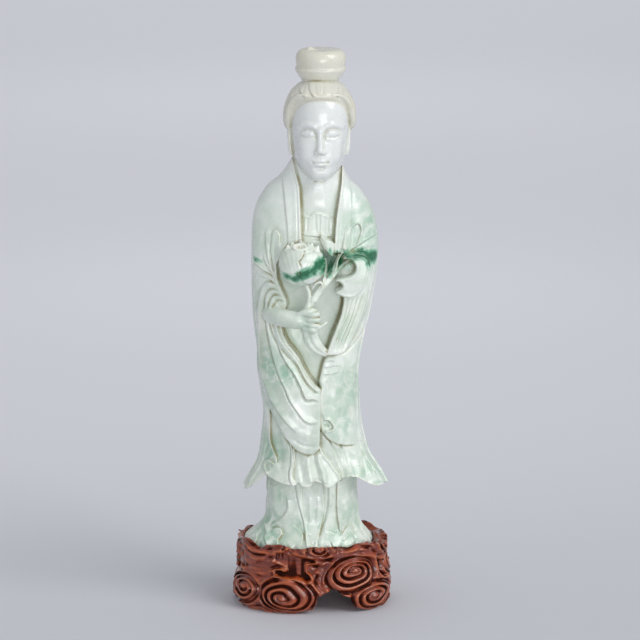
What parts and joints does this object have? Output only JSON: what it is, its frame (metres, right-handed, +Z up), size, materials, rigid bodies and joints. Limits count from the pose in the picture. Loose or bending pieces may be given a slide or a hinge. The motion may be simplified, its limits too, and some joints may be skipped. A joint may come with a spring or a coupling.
{
  "type": "jade guanyin figure on a wood stand",
  "caption": "Standing robed guanyin carved in pale green jade, holding a lotus, resting in the recess of a carved rosewood cloud scroll stand.",
  "frame": {"origin": "on the table under the middle of the stand", "axes": "+Z up; the figure faces -Y and its right hand is towards -X"},
  "size_m": [0.106, 0.0883, 0.37],
  "materials": {
    "jade": "polished translucent jadeite, whitish green with emerald streaks",
    "rosewood": "oiled and polished reddish brown rosewood"
  },
  "bodies": {
    "root": {"jade_figure": "jade", "wood_stand": "rosewood"}
  },
  "joints": []
}
